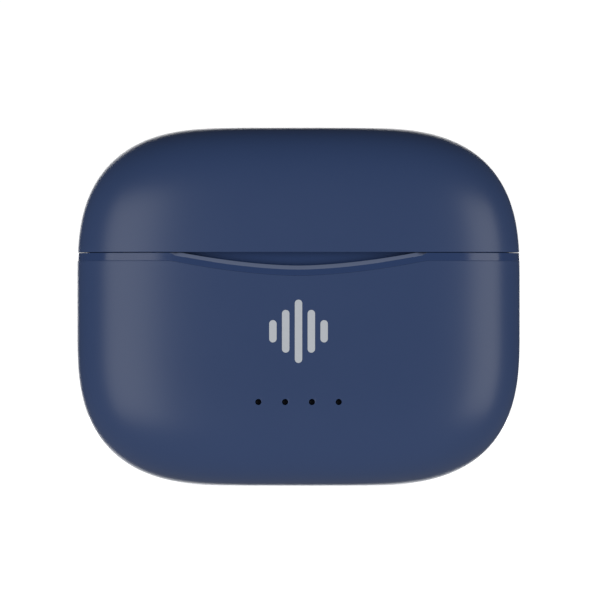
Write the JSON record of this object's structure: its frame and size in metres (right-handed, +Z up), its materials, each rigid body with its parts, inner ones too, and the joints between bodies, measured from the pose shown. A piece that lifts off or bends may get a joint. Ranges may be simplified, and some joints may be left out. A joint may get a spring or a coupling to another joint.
{
  "type": "wireless earbuds charging case",
  "caption": "Upright pebble-shaped charging case for stemmed earbuds, with a hinged lid, thumb notch, wells, spring contacts and a charging port.",
  "frame": {"origin": "centre of the flat foot under the case, on the surface it stands on", "axes": "+Z up, -Y the front with the thumb notch, +X to the right seen from the front"},
  "size_m": [0.06, 0.025, 0.0484],
  "materials": {
    "shell": "satin navy, fine moulded",
    "inner": "satin navy, smoother and darker",
    "magnet": "nickel-plated magnet",
    "steel": "satin steel",
    "contact": "gold-plated",
    "board": "solder mask",
    "flex": "polyimide film",
    "chip": "matt black",
    "cell": "laminate pouch",
    "foam": "foam",
    "lamp": "clear resin",
    "guide": "smoked clear plastic"
  },
  "bodies": {
    "base": {"base_shell": "shell", "inner_tray": "inner", "bud_seat_left": "inner", "bud_seat_right": "inner", "base_magnet_left": "magnet", "base_magnet_right": "magnet", "bud_magnet_left": "magnet", "bud_magnet_right": "magnet", "hinge_base_leaf": "steel", "hinge_pin": "steel", "base_hinge_screw_left": "steel", "base_hinge_screw_right": "steel", "battery_cell": "cell", "battery_pad": "foam", "battery_flex": "flex", "battery_connector": "chip", "main_board": "board", "board_screw_left": "steel", "board_screw_right": "steel", "control_chip": "chip", "charge_chip": "chip", "button_switch": "chip", "usb_socket_shell": "steel", "usb_tongue": "chip", "indicator_board": "board", "lamp_1": "lamp", "lamp_2": "lamp", "lamp_3": "lamp", "lamp_4": "lamp", "light_guide": "guide", "contact_board_left": "board", "contact_board_right": "board", "contact_flex_left": "flex", "contact_flex_right": "flex", "pogo_barrel_left_inner": "contact", "pogo_barrel_left_outer": "contact", "pogo_barrel_right_inner": "contact", "pogo_barrel_right_outer": "contact", "pogo_spring_left_inner": "steel", "pogo_spring_left_outer": "steel", "pogo_spring_right_inner": "steel", "pogo_spring_right_outer": "steel"},
    "lid": {"lid_shell": "shell", "lid_liner": "inner", "lid_magnet_left": "magnet", "lid_magnet_right": "magnet", "lid_sensor_magnet": "magnet", "hinge_lid_leaf": "steel", "lid_hinge_screw_left": "steel", "lid_hinge_screw_right": "steel"},
    "button": {"button_cap": "shell"},
    "plunger_left_inner": {"pogo_plunger_left_inner": "contact"},
    "plunger_left_outer": {"pogo_plunger_left_outer": "contact"},
    "plunger_right_inner": {"pogo_plunger_right_inner": "contact"},
    "plunger_right_outer": {"pogo_plunger_right_outer": "contact"}
  },
  "joints": [
    {"name": "lid_hinge", "type": "hinge", "parent": "base", "child": "lid", "pos_m": [0, 0.0113, 0.0316], "axis": [-1, 0, 0], "range_deg": [0, 95]},
    {"name": "button_press", "type": "slide", "parent": "base", "child": "button", "axis": [0, -1, 0], "range_m": [0, 0.0004], "stiffness_N_per_m": 400},
    {"name": "plunger_left_inner_press", "type": "slide", "parent": "base", "child": "plunger_left_inner", "axis": [0, 0, -1], "range_m": [0, 0.0006], "stiffness_N_per_m": 200, "deforming": ["pogo_spring_left_inner"]},
    {"name": "plunger_left_outer_press", "type": "slide", "parent": "base", "child": "plunger_left_outer", "axis": [0, 0, -1], "range_m": [0, 0.0006], "stiffness_N_per_m": 200, "deforming": ["pogo_spring_left_outer"]},
    {"name": "plunger_right_inner_press", "type": "slide", "parent": "base", "child": "plunger_right_inner", "axis": [0, 0, -1], "range_m": [0, 0.0006], "stiffness_N_per_m": 200, "deforming": ["pogo_spring_right_inner"]},
    {"name": "plunger_right_outer_press", "type": "slide", "parent": "base", "child": "plunger_right_outer", "axis": [0, 0, -1], "range_m": [0, 0.0006], "stiffness_N_per_m": 200, "deforming": ["pogo_spring_right_outer"]}
  ]
}
